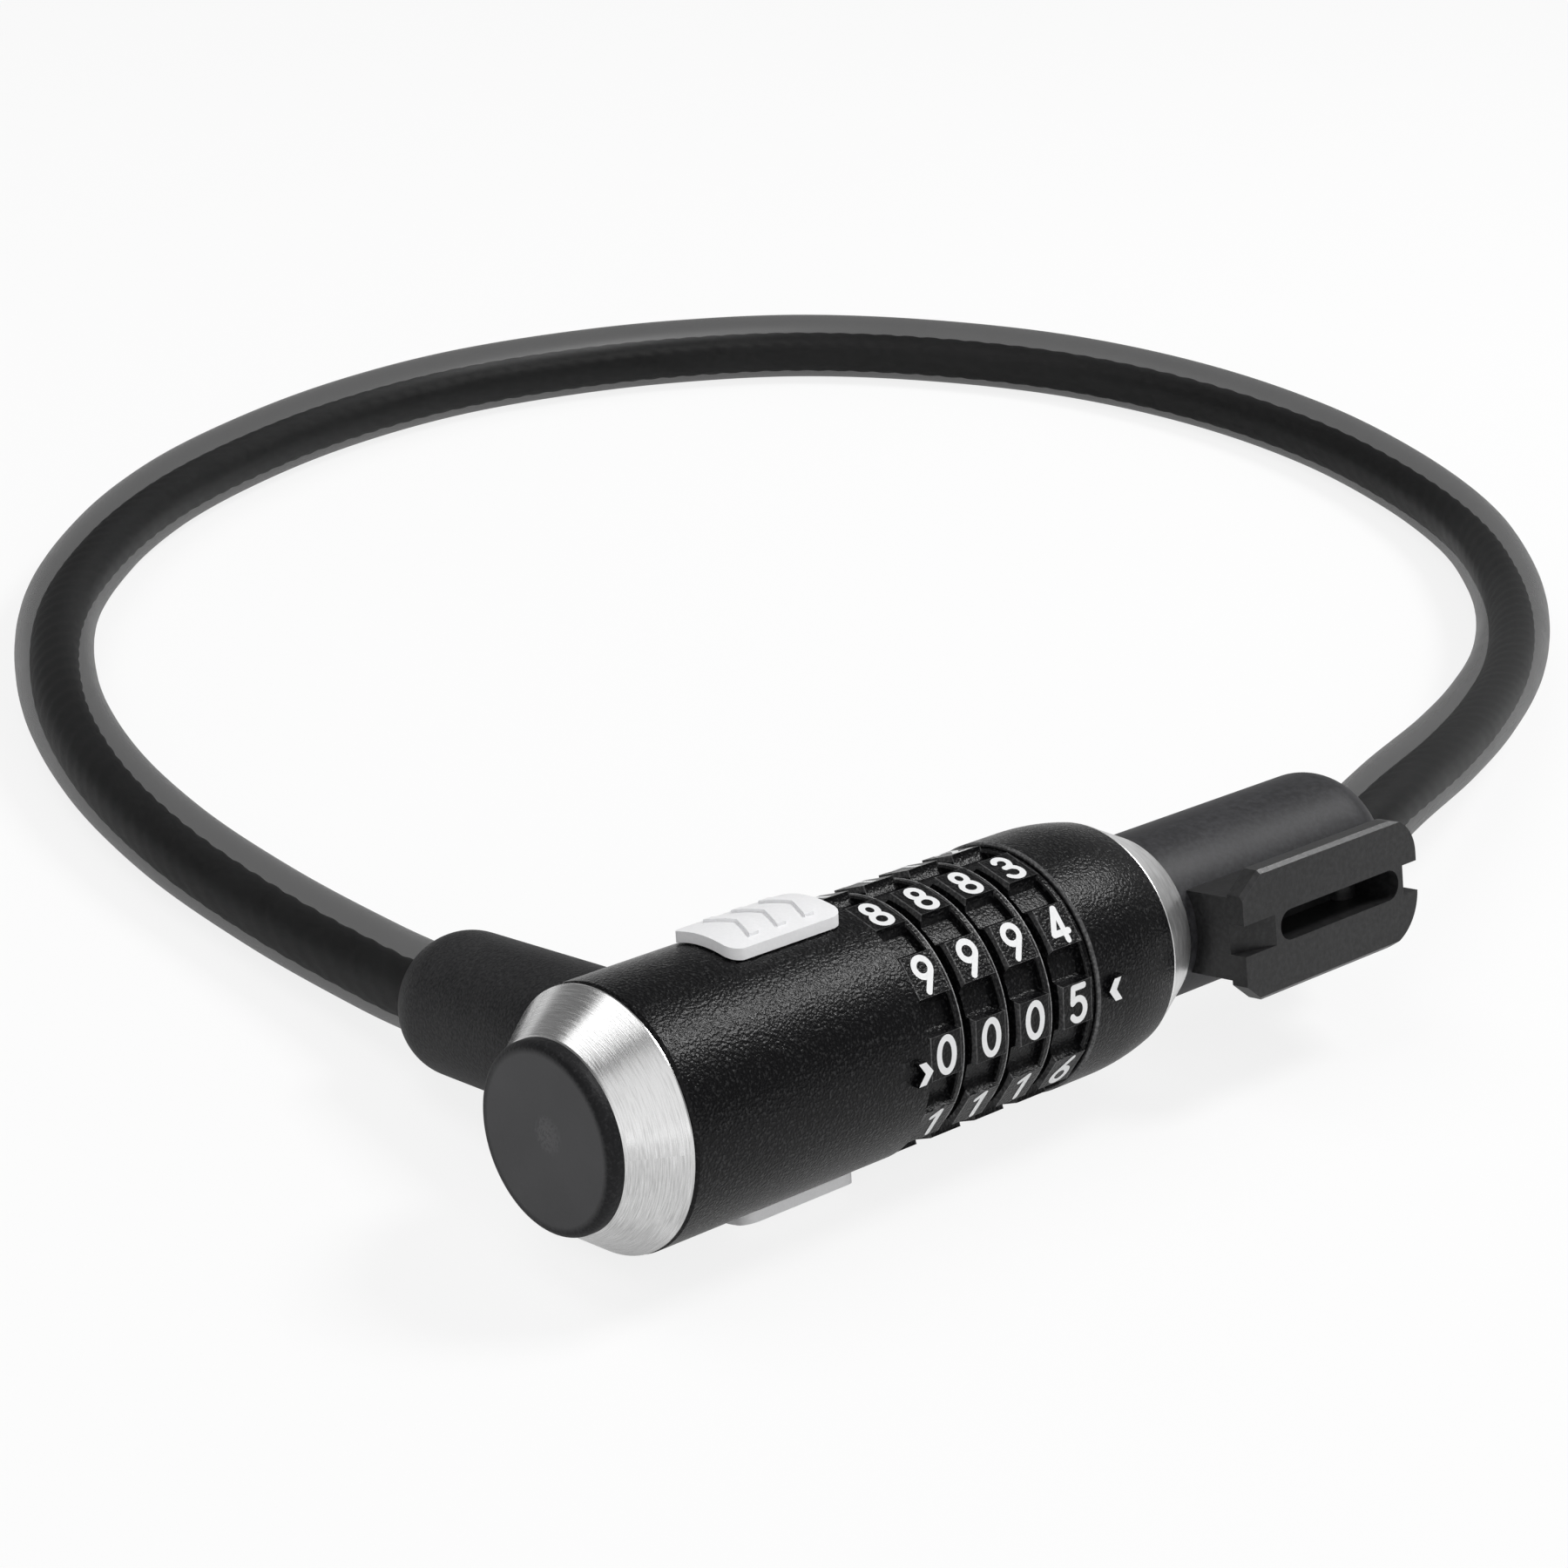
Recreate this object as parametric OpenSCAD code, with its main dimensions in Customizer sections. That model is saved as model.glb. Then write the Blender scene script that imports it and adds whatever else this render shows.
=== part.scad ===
// Four-dial combination cable lock with a frame-bracket shoe.
// X runs along the lock body from the end plug to the far end, Z is up, and the origin is the
// centre of the end plug's face. The body lies rolled about X, resting on its lower slider and
// the cable. Lengths are millimetres.

/* [Body] */
// Outer radius of the lock body
housing_r = 17; // [16:0.5:21]
// Wall thickness of both housings
wall_t = 2.2; // [1.8:0.1:2.6]
// Length of the front housing, which holds the locking pin
front_len = 38.7; // [36:0.1:50]
// Length of the rear housing, which holds the cable anchor
rear_len = 14.2; // [13.6:0.1:24]
// Axial length of the steel cone at the front
cone_len = 6.8; // [5:0.1:8]
// Axial length of the steel ring at the rear
ring_len = 7.3; // [5:0.1:9]
// Radius of the small face of the cone and of the ring
steel_face_r = 12.4; // [12.3:0.1:14]
// How far the rear housing draws in before the steel ring
shoulder_drop = 1.1; // [0.3:0.1:1.3]
// Radius of the end plug
plug_r = 12.2; // [11:0.1:12.3]
// Roundness of the end plug's rim
plug_round = 1.2; // [0.5:0.1:1.8]
// Roll of the body about its own axis as it lies, in degrees
body_roll = 10.5; // [0:0.5:15]

/* [Dials] */
// Axial pitch of the dials
dial_pitch = 7.9; // [7.4:0.1:10]
// Axial width of the raised number pads
pad_w = 5.4; // [4.5:0.1:5.8]
// Half the height of a number pad's flat
pad_half = 3.05; // [2.6:0.05:3.4]
// Depth of the pads' rim below the housing surface
pad_drop = 0.12; // [0.1:0.02:0.3]
// Depth of the smooth flange below the housing surface
flange_drop = 1.75; // [1.2:0.05:2.2]
// Width of the flange
flange_w = 1.5; // [0.8:0.1:1.8]
// Depth of the narrow hub between two dials
hub_drop = 3.6; // [2.4:0.1:4.4]
// Radius of the hollow between two pads
scallop_r = 2.5; // [2.2:0.1:3]
// Gap between two dials
dial_gap = 0.2; // [0.1:0.05:0.3]

/* [Slider] */
// Length of the release slider's plate
slider_len = 18.6; // [18:0.1:20]
// Width of the plate, measured round the body
slider_w = 11.7; // [10:0.1:14]
// Thickness of the plate
slider_t = 1.4; // [1:0.05:1.8]
// Gap between the plate and the body
slider_lift = 0.25; // [0.2:0.05:0.4]
// Height of the raised chevrons
chevron_h = 0.4; // [0.2:0.05:0.5]
// Travel of the slider towards the dials
slider_travel = 4; // [3:0.25:4.5]

/* [Cable] */
// Diameter of the cable over its jacket
cable_d = 12.4; // [10:0.2:12.6]
// Diameter of the steel rope inside
core_d = 6; // [5:0.5:7.5]
// Radius of the boot where it meets the body
boot_r = 10.1; // [9.2:0.1:11]
// Radius of the boot before its mouth
boot_mouth_r = 9.75; // [8.9:0.05:10]
// Distance from the body axis to the boot's mouth
boot_reach = 51; // [46:1:60]
// Radius of the sleeve on the fixed end
sleeve_r = 11.7; // [11:0.1:12.2]
// Length of the sleeve beyond the steel ring
sleeve_len = 45.2; // [41:0.2:56]
// Roundness of the boot's mouth
boot_round = 8; // [3:0.2:8.2]
// Roundness of the sleeve's mouth
sleeve_round = 6.7; // [3:0.1:7]

/* [Bracket shoe] */
// Length of the shoe
shoe_len = 36; // [34:1:40]
// Height of the neck between sleeve and rails
neck_h = 11.4; // [11:0.2:14]
// Height over both rails
rail_h = 17.6; // [16:0.2:21]
// Thickness of the rails
rail_t = 2.6; // [1.8:0.1:3]
// Distance from the body axis to the front of the rails
shoe_reach = 20; // [19:0.5:24]
// Height of the latch slot and of the ramps that lead up to it
groove_h = 4.2; // [3.6:0.1:5]
// Length of the latch slot
slot_len = 24.7; // [20:0.1:28]
// Depth of the latch slot behind the rails
slot_depth = 4.6; // [3:0.2:5]
// Turn of the shoe from the body's side, in degrees
shoe_turn = 3.4; // [0:0.2:8]

/* [Mechanism] */
// Radius of the locking pin
pin_r = 4; // [3.5:0.1:4.5]
// Radius of the pin at the bottom of its groove
pin_neck_r = 2.6; // [2.2:0.1:3]
// Radius of the sliding bolt
bolt_r = 2.5; // [2:0.1:2.7]
// Wall of the tube that carries the dials
tube_wall = 1.2; // [1:0.1:1.5]
// Thickness of a fin on the bolt
fin_t = 1; // [0.8:0.1:1.2]
// Thickness of a tumbler's web, which the fin passes through
web_t = 1.2; // [1:0.1:1.4]
// Wire diameter of the bolt's spring
wire_d = 0.6; // [0.4:0.1:0.7]

/* [Hidden] */
$fn = 72;
eps = 0.01;
run = 0.1;    // running clearance of turned fits
slip = 0.3;   // clearance of moving faces
seam = 0.3;   // dark line between the cone and the front housing
places = 10;  // numbers on a dial
dials = 4;
place_angle = 360 / places;

bore_r = housing_r - wall_t;
spigot_r = bore_r - run;
shoulder_r = housing_r - shoulder_drop;
shoulder_len = 9;
floor_z = -(housing_r + slider_lift + slider_t + chevron_h);

// stations along the body
plug_rim = 2;
seam_x = plug_rim + cone_len;
front_x = seam_x + seam;
dials_x = front_x + front_len;
rear_x = dials_x + dials * dial_pitch;
rear_lap = 1.55;  // reach of the rear housing's rim over the last dial's flange
ring_x = rear_x + rear_len;
sleeve_x = ring_x + ring_len;
sleeve_end = sleeve_x + sleeve_len;
boot_x = front_x + 15.4;

// front interior
bulkhead_t = 3;
bulkhead_x = dials_x - seam - bulkhead_t;
spigot_len = 3.2;
block_x = seam_x + spigot_len + 0.2;
block_end = boot_x + 9.1;
yoke_x = block_end + 1;
yoke_t = 2.8;
yoke_w = 4.6;
yoke_reach = 12;
leg_t = 3.6;
leg_x = yoke_x + (yoke_t - leg_t) / 2;
clip_t = 0.8;
clip_x = yoke_x + yoke_t + 0.05;
slider_x = dials_x - 3.05 - slider_len;
mark_h = 0.85;  // height of the index marks
plate_r = housing_r + slider_lift;

// spindle and tumblers
tube_r = bolt_r + 0.7 + tube_wall;
tube_bore = tube_r - tube_wall;
tube_flange_r = tube_r + 2.1;
tube_flange_t = 0.8;
rear_bulkhead_t = 2.4;
nut_x = rear_x + 0.2 + rear_bulkhead_t;
nut_t = 2.2;
tube_end = nut_x + nut_t + 0.2;
web_at = 2;
fin_at = web_at - 0.4 - fin_t;
fin_r = tube_r + 1.3;
pocket_r = fin_r + 0.4;
tumbler_bore = tube_r + run + 0.05;
tumbler_r = pocket_r + 3.2;
tooth_r = 0.9;
gate_w = 1.6;
fin_w = gate_w - 0.5;
detent_r = 0.45;

// locking pin and its barrel
barrel_r = core_d / 2 + 4.1;
barrel_at = 11.2;
barrel_end = boot_reach - 16;
pin_tip = -7.6;
groove_w = 3.2;
tongue_t = groove_w - 0.4;
tongue_h = 6.8;
core_seat = barrel_at + 3;

// cable anchor at the rear
spring_end = tube_end + 2.6;
anchor_x = tube_end + 0.4;
flange_x = spring_end + 1.2;
ring_spigot = 2.2;
flange_t = ring_x - ring_spigot - flange_x - 0.1;
flange_r = barrel_r + 2.2;
ferrule_end = sleeve_x + 8.8;
core_end = flange_x + flange_t + 1.3;

// bracket shoe
shoe_x = sleeve_x + 2;
slot_x = shoe_x + 7.3;
rail_y = -(shoe_reach - rail_t);

// the cable between boot and sleeve: x, y and the lift of its underside off the floor
LAY = [
    [25, 64, 1.7], [25.5, 89, 0.2], [27, 115, 0], [32.5, 141.5, 0], [43.5, 168.5, 0],
    [61.5, 195.5, 0], [84, 216.5, 0], [107, 231.5, 0], [131.5, 242, 0], [158, 249.5, 0],
    [186, 253, 0], [212.5, 251.5, 0], [239, 246, 0], [265, 235.5, 0], [287, 218.5, 0],
    [304, 197, 0], [313.5, 171, 0], [315, 143, 0], [309, 116, 0], [297.5, 92, 0.4],
    [281, 72, 1.4], [264, 56.5, 2.4], [242.5, 41.5, 4], [218.5, 28.5, 6.5],
    [194.5, 17.5, 9.4], [171, 8.5, 11.9]
];
tube_sides = 12;
boot_dir = [0, cos(body_roll), -sin(body_roll)];
boot_root = [boot_x, 0, 0];
route = concat(
    [boot_root + boot_dir * boot_reach],
    [for (p = LAY) [p[0], p[1], floor_z + cable_d / 2 + p[2]]],
    [[sleeve_end, 0, 0]]
);
jacket_route = concat(
    [boot_root + boot_dir * (barrel_end + 0.2)], route, [[ferrule_end + 0.2, 0, 0]]
);
core_route = concat(
    [boot_root + boot_dir * (core_seat + 0.2)], jacket_route, [[core_end + 0.2, 0, 0]]
);

// ---- shared shapes ----

// the body's roll as it lies
module laid() { rotate([-body_roll, 0, 0]) children(); }

// a solid turned about X from a profile of [radius, x]
module turned() { rotate([0, 90, 0]) rotate_extrude() children(); }

// a cylinder along X
module rod_x(x0, x1, r) { translate([x0, 0, 0]) rotate([0, 90, 0]) cylinder(h = x1 - x0, r = r); }

// a cylinder along Y, at boot_x
module rod_y(y0, y1, r) { translate([boot_x, y0, 0]) rotate([-90, 0, 0]) cylinder(h = y1 - y0, r = r); }

// what a rounding of radius r takes off the corner at the origin, corner pointing to +X +Y
module corner_off(r) {
    translate([-r, -r]) difference() {
        square(r + eps);
        circle(r);
    }
}

// a box given by its two corners
module block(low, high) { translate(low) cube(high - low); }

// a plate outline of width w along X and height h along Y, with corners of radius r
module rounded_plate(w, h, r) {
    difference() {
        square([w, h], center = true);
        for (i = [0, 1], j = [0, 1])
            mirror([i, 0]) mirror([0, j]) translate([w / 2, h / 2]) corner_off(r);
    }
}

// an arrow head of stroke s, its point at [l, 0]
module arrow(l, h, s) {
    polygon([[0, h], [s, h], [l, 0], [s, -h], [0, -h], [l - s, 0]]);
}

// a raised arrow of length l on the body's side, turned from it by a degrees
module index_mark(x, l, a) {
    rotate([a, 0, 0]) translate([x, 1 - housing_r, 0]) rotate([90, 0, 0])
        linear_extrude(mark_h + 1) arrow(l, 1.6, 1.35);
}

function unit(v) = v / norm(v);
function heading(p, i) = unit(p[min(i + 1, len(p) - 1)] - p[max(i - 1, 0)]);
// end rings stand square to the straight run that they close
function end_heading(p, i) =
    i == 0 ? unit(p[1] - p[0]) : i == len(p) - 1 ? unit(p[i] - p[i - 1]) : heading(p, i);
function ring_at(p, i, r) =
    let (t = end_heading(p, i), side = unit(cross([0, 0, 1], t)), up = cross(t, side))
    [for (k = [0:tube_sides - 1])
        let (a = 360 * (k + 0.5) / tube_sides) p[i] + r * (cos(a) * side + sin(a) * up)];
function wall_faces(n, base, out) =
    [for (i = [0:n - 2], k = [0:tube_sides - 1], half = [0, 1])
        let (a = base + i * tube_sides + k, b = base + i * tube_sides + (k + 1) % tube_sides,
            c = a + tube_sides, d = b + tube_sides)
        out ? (half == 0 ? [a, c, b] : [b, c, d]) : (half == 0 ? [a, b, c] : [b, d, c])];

// a round solid swept along the route p
module swept_rod(p, r) {
    n = len(p);
    last = (n - 1) * tube_sides;
    polyhedron(
        points = [for (i = [0:n - 1]) each ring_at(p, i, r)],
        faces = concat(
            wall_faces(n, 0, true),
            [[for (k = [0:tube_sides - 1]) k]],
            [[for (k = [tube_sides - 1:-1:0]) last + k]]
        )
    );
}

// a tube swept along the route p, with a wall between r_in and r_out
module swept_tube(p, r_out, r_in) {
    n = len(p);
    inner = n * tube_sides;
    last = (n - 1) * tube_sides;
    polyhedron(
        points = concat(
            [for (i = [0:n - 1]) each ring_at(p, i, r_out)],
            [for (i = [0:n - 1]) each ring_at(p, i, r_in)]
        ),
        faces = concat(
            wall_faces(n, 0, true),
            wall_faces(n, inner, false),
            [for (k = [0:tube_sides - 1], half = [0, 1])
                let (b = (k + 1) % tube_sides)
                half == 0 ? [k, b, inner + k] : [b, inner + b, inner + k]],
            [for (k = [0:tube_sides - 1], half = [0, 1])
                let (a = last + k, b = last + (k + 1) % tube_sides)
                half == 0 ? [a, inner + a, b] : [b, inner + a, inner + b]]
        )
    );
}

// ---- front end ----

// moulded plug with a rounded rim and a stem pressed into the cone
module end_plug() {
    stem_r = steel_face_r - 3;
    color("#26272a") laid() turned() union() {
        difference() {
            square([plug_r, plug_rim]);
            translate([plug_r, 0]) mirror([0, 1]) corner_off(plug_round);
        }
        square([stem_r, seam_x - 1]);
    }
}

// turned steel cone with a spigot in the front housing
module front_cone() {
    stem_bore = steel_face_r - 3 + 0.05;
    color("#c9cacb") laid() turned() polygon([
        [stem_bore, plug_rim], [steel_face_r - 0.2, plug_rim], [steel_face_r, plug_rim + 0.15],
        [housing_r - 0.15, seam_x - 0.2], [housing_r - 0.15, seam_x], [spigot_r, seam_x],
        [spigot_r, seam_x + spigot_len], [stem_bore, seam_x + spigot_len]
    ]);
}

// tube with a bulkhead, a side hole for the pin barrel and two slots for the slider legs
module front_housing() {
    edge = 0.35;
    color("#232427") laid() {
        difference() {
            union() {
                turned() polygon([
                    [0, front_x], [housing_r - edge, front_x], [housing_r, front_x + edge],
                    [housing_r, dials_x - seam / 2 - 0.15], [housing_r - 0.15, dials_x - seam / 2],
                    [0, dials_x - seam / 2]
                ]);
                index_mark(dials_x - 3.3, 2.6, 2.5);
            }
            rod_x(front_x - 1, bulkhead_x, bore_r);
            rod_x(bulkhead_x - 1, dials_x + 1, tube_r + 0.05);
            rod_y(0, housing_r + 2, barrel_r + 0.2);
            block([leg_x - slip, -yoke_w / 2 - slip, -housing_r - 2],
                [leg_x + leg_t + slider_travel + slip, yoke_w / 2 + slip, housing_r + 2]);
        }
    }
}

// steel block with the pin's cross bore and the way for the bolt's tongue
module socket_block() {
    color("#8f9194") laid() difference() {
        rod_x(block_x, block_end, spigot_r);
        rod_y(pin_tip - 0.6, housing_r + 2, pin_r + run);
        rod_y(barrel_at - 0.2, housing_r + 2, barrel_r + 0.2);
        block([boot_x, -tongue_t / 2 - 0.2, -tongue_h / 2 - 0.3],
            [block_end + 1, tongue_t / 2 + 0.2, tongue_h / 2 + 0.3]);
    }
}

// ---- release slider ----

// curved plate with chevrons, and a leg through the housing wall
module slider(side) {
    plan_mid = slider_x + slider_len / 2;
    color("#d4d5d7") laid() mirror([0, 0, side]) {
        intersection() {
            difference() {
                rod_x(slider_x - 1, slider_x + slider_len + 1, plate_r + slider_t);
                rod_x(slider_x - 2, slider_x + slider_len + 2, plate_r);
            }
            translate([plan_mid, 0, housing_r / 2]) linear_extrude(housing_r)
                rounded_plate(slider_len, slider_w, 2);
        }
        intersection() {
            difference() {
                rod_x(slider_x, slider_x + slider_len, plate_r + slider_t + chevron_h);
                rod_x(slider_x - 1, slider_x + slider_len + 1, plate_r + slider_t / 2);
            }
            for (i = [-1:1])
                translate([plan_mid - 0.5 + i * 4.6, 0, housing_r / 2]) linear_extrude(housing_r)
                    arrow(3.25, 4.2, 1.5);
        }
        intersection() {
            block([leg_x, -yoke_w / 2, yoke_reach], [leg_x + leg_t, yoke_w / 2, housing_r + 2]);
            rod_x(leg_x - 1, leg_x + leg_t + 1, plate_r + slider_t / 2);
        }
    }
}

module slider_top() { slider(0); }
module slider_bottom() { slider(1); }

// cross bar that ties both slider legs to the bolt, with a round boss on it
module slider_yoke() {
    color("#9a9c9f") laid() difference() {
        union() {
            block([yoke_x, -yoke_w / 2, -yoke_reach], [yoke_x + yoke_t, yoke_w / 2, yoke_reach]);
            rod_x(yoke_x, yoke_x + yoke_t, bolt_r + 1.5);
        }
        rod_x(yoke_x - 1, yoke_x + yoke_t + 1, bolt_r + 0.05);
    }
}

// ---- bolt and spindle ----

// rod with a tongue for the pin's groove and one fin for each dial
module bolt() {
    rod_end = rear_x - 0.7;
    color("#b9babc") laid() {
        block([boot_x + pin_neck_r + 0.1, -tongue_t / 2, -tongue_h / 2],
            [yoke_x - 0.1, tongue_t / 2, tongue_h / 2]);
        rod_x(block_end + slip, rod_end, bolt_r);
        for (k = [0:dials - 1])
            block([dials_x + k * dial_pitch + fin_at, 0, -fin_w / 2],
                [dials_x + k * dial_pitch + fin_at + fin_t, fin_r, fin_w / 2]);
    }
}

// ring that holds the yoke on the bolt
module bolt_clip() {
    color("#6f7174") laid() difference() {
        rod_x(clip_x, clip_x + clip_t, bolt_r + 1.4);
        rod_x(clip_x - 1, clip_x + clip_t + 1, bolt_r + 0.02);
    }
}

// compression spring behind the bolt: one helix with closed end curls
module bolt_spring() {
    x0 = rear_x - 0.6;
    curls = 5;
    per_curl = 10;
    sides = 6;
    helix_r = tube_bore - 0.15 - wire_d / 2;
    steps = curls * per_curl;
    run_len = spring_end - 0.1 - wire_d - x0 - wire_d / 2;
    pts = [for (i = [0:steps], k = [0:sides - 1])
        let (a = 360 * i / per_curl, x = x0 + wire_d / 2 + run_len * i / steps,
            b = 360 * k / sides, r = helix_r + wire_d / 2 * cos(b))
        [x + wire_d / 2 * sin(b), r * cos(a), r * sin(a)]];
    color("#b0b2b5") laid() polyhedron(
        points = pts,
        faces = concat(
            [for (i = [0:steps - 1], k = [0:sides - 1], half = [0, 1])
                let (a = i * sides + k, b = i * sides + (k + 1) % sides, c = a + sides, d = b + sides)
                half == 0 ? [a, b, c] : [b, d, c]],
            [[for (k = [sides - 1:-1:0]) k]],
            [[for (k = [0:sides - 1]) steps * sides + k]]
        )
    );
}

// flanged tube that carries the dials, slotted for the fins and for the detent strip
module core_tube() {
    slot_a = dials_x + 0.3;
    slot_b = dials_x + (dials - 1) * dial_pitch + fin_at + fin_t + slider_travel + slip;
    color("#a3a5a8") laid() difference() {
        union() {
            rod_x(bulkhead_x - tube_flange_t, tube_end, tube_r);
            rod_x(bulkhead_x - tube_flange_t, bulkhead_x, tube_flange_r);
        }
        rod_x(bulkhead_x - 3, tube_end + 1, tube_bore);
        block([slot_a, 0, -fin_w / 2 - 0.15], [slot_b, tube_r + 1, fin_w / 2 + 0.15]);
        block([slot_a, -tube_r - 1, -0.8], [slot_b, 0, 0.8]);
    }
}

// hexagon nut that draws both housings together on the tube
module core_nut() {
    color("#7d7f82") laid() difference() {
        translate([nut_x, 0, 0]) rotate([0, 90, 0]) cylinder(h = nut_t, r = tube_r + 2.4, $fn = 6);
        rod_x(nut_x - 1, nut_x + nut_t + 1, tube_r + 0.02);
    }
}

// spring strip whose bumps click into the tumblers' notches
module detent_spring() {
    x0 = dials_x + 0.6;
    x1 = dials_x + (dials - 1) * dial_pitch + fin_at + fin_t + slider_travel;
    color("#c2c4c6") laid() {
        block([x0, -tube_r + 0.45, -0.6], [x1, -tube_r + 0.85, 0.6]);
        for (k = [0:dials - 1])
            translate([dials_x + k * dial_pitch + web_at + web_t / 2, -tube_r + 0.45, -0.6])
                cylinder(h = 1.2, r = 0.4);
    }
}

// ---- dials ----

// number ring: ten flat pads with hollows between them, then a smooth flange and a low hub
module dial(k) {
    x0 = dials_x + k * dial_pitch + dial_gap / 2;
    rim_r = housing_r - pad_drop;
    flat_r = sqrt(rim_r * rim_r - pad_half * pad_half);
    flange_r = housing_r - flange_drop;
    hollow_at = (rim_r + 0.25) * cos(place_angle / 2) + sqrt(scallop_r * scallop_r
        - pow(rim_r * sin(place_angle / 2) - pad_half * cos(place_angle / 2), 2));
    color("#202124") laid() difference() {
        union() {
            translate([x0, 0, 0]) rotate([0, 90, 0]) linear_extrude(pad_w) difference() {
                circle(r = flat_r / cos(place_angle / 2), $fn = places);
                for (i = [0:places - 1])
                    rotate(i * place_angle) translate([hollow_at, 0]) circle(scallop_r);
            }
            rod_x(x0, x0 + pad_w + flange_w, flange_r);
            rod_x(x0, x0 + dial_pitch - dial_gap, housing_r - hub_drop);
        }
        rod_x(x0 - 1, x0 + dial_pitch, tumbler_r + run);
        for (i = [0:places - 1])
            rotate([i * place_angle, 0, 0]) translate([x0 - 1, tumbler_r, 0]) rotate([0, 90, 0])
                cylinder(h = dial_pitch + 2, r = tooth_r + run);
    }
}

// inner wheel: splined to the dial, with a gate in its web for the bolt's fin
module tumbler(k) {
    x0 = dials_x + k * dial_pitch + dial_gap;
    x1 = x0 + dial_pitch - 2 * dial_gap;
    web_x = dials_x + k * dial_pitch + web_at;
    color("#b48a3c") laid() difference() {
        union() {
            rod_x(x0, x1, tumbler_r);
            for (i = [0:places - 1])
                rotate([i * place_angle, 0, 0]) translate([x0, tumbler_r, 0]) rotate([0, 90, 0])
                    cylinder(h = x1 - x0, r = tooth_r);
        }
        rod_x(x0 - 1, x1 + 1, tumbler_bore);
        rod_x(x0 - 1, web_x, pocket_r);
        rod_x(web_x + web_t, x1 + 1, pocket_r);
        block([x0 - 1, 0, -gate_w / 2], [x1, fin_r + 0.25, gate_w / 2]);
        for (i = [1:places - 1])
            rotate([i * place_angle, 0, 0]) translate([x0 - 1, tumbler_bore, 0]) rotate([0, 90, 0])
                cylinder(h = dial_pitch + 2, r = detent_r, $fn = 24);
    }
}

module dial_1() { dial(0); }
module dial_2() { dial(1); }
module dial_3() { dial(2); }
module dial_4() { dial(3); }
module tumbler_1() { tumbler(0); }
module tumbler_2() { tumbler(1); }
module tumbler_3() { tumbler(2); }
module tumbler_4() { tumbler(3); }

// ---- rear end ----

// tube with a rim over the last dial's flange, a bulkhead and a soft shoulder at the steel ring
module rear_housing() {
    x0 = rear_x - rear_lap;
    edge = 0.3;
    arc_r = (shoulder_len * shoulder_len + shoulder_drop * shoulder_drop) / (2 * shoulder_drop);
    color("#232427") laid() difference() {
        union() {
            turned() intersection() {
                polygon([
                    [0, x0], [housing_r - edge, x0], [housing_r, x0 + edge],
                    [housing_r, ring_x], [0, ring_x]
                ]);
                union() {
                    square([housing_r, ring_x - shoulder_len]);
                    translate([housing_r - arc_r, ring_x - shoulder_len]) circle(arc_r, $fn = 720);
                }
            }
            translate([2 * (rear_x + 0.7), 0, 0]) mirror([1, 0, 0]) index_mark(rear_x - 1.2, 2.4, -1.6);
        }
        rod_x(x0 - 1, rear_x + 0.15, housing_r - flange_drop + 0.25);
        rod_x(rear_x + rear_bulkhead_t + 0.2, ring_x + 1, bore_r);
        rod_x(rear_x - 1, ring_x, tube_r + 0.05);
    }
}

// steel block that backs the bolt's spring and seats the cable ferrule's flange
module anchor_block() {
    color("#8f9194") laid() difference() {
        rod_x(anchor_x, ring_x - ring_spigot - 0.2, spigot_r);
        rod_x(anchor_x - 1, spring_end, tube_bore);
        rod_x(flange_x - 0.1, ring_x, flange_r + 0.1);
    }
}

// turned steel ring that closes the rear and traps the ferrule
module rear_ring() {
    seat = 1.2;
    color("#c9cacb") laid() turned() polygon([
        [barrel_r + 0.2, ring_x - ring_spigot], [spigot_r, ring_x - ring_spigot],
        [spigot_r, ring_x + 0.05], [shoulder_r - 0.1, ring_x + 0.05],
        [shoulder_r - 0.1, ring_x + 0.3], [steel_face_r, sleeve_x - 0.15],
        [steel_face_r - 0.2, sleeve_x], [sleeve_r + run, sleeve_x],
        [sleeve_r + run, sleeve_x - seat], [barrel_r + 0.2, sleeve_x - seat]
    ]);
}

// crimped barrel with a flange, on the fixed end of the rope
module cable_ferrule() {
    color("#9a9c9f") laid() difference() {
        union() {
            rod_x(flange_x, flange_x + flange_t, flange_r);
            rod_x(flange_x, ferrule_end, barrel_r);
        }
        rod_x(core_end, ferrule_end + 1, core_d / 2 + 0.05);
    }
}

// stiff moulded sleeve over the ferrule and the cable, with a rounded mouth
module sleeve() {
    color("#2b2c2f") laid() turned() difference() {
        translate([cable_d / 2 + 0.15, sleeve_x - 1.1])
            square([sleeve_r - cable_d / 2 - 0.15, sleeve_len + 1.1]);
        translate([0, sleeve_x - 2]) square([barrel_r + 0.15, ferrule_end + 2.1 - sleeve_x]);
        translate([sleeve_r, sleeve_end + 0.4]) corner_off(sleeve_round);
        polygon([[0, sleeve_end - 3], [cable_d / 2 + 0.15, sleeve_end - 3],
            [cable_d / 2 + 0.75, sleeve_end + eps], [0, sleeve_end + eps]]);
    }
}

rail_cut_x = [3.7, 3];    // the rails' cut corners at the ring end, upper and lower
rail_cut_z = [2.7, 2.5];

// outline of the rails: two cut corners at the ring end, two round ones at the far end
module rail_outline() {
    round_r = [5.5, 7];
    difference() {
        translate([0, -rail_h / 2]) square([shoe_len, rail_h]);
        for (j = [0, 1]) mirror([0, j]) {
            polygon([
                [-eps, rail_h / 2 - rail_cut_z[j]], [rail_cut_x[j], rail_h / 2 + eps],
                [-eps, rail_h / 2 + eps]
            ]);
            translate([shoe_len, rail_h / 2]) corner_off(round_r[j]);
        }
    }
}

// what a bevel takes off an edge along X at the origin, with the solid below and behind it
module edge_bevel(from, to, bevel) {
    translate([from, 0, -bevel]) rotate([45, 0, 0]) translate([0, -5, 0])
        cube([to - from, 10, 5]);
}

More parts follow.
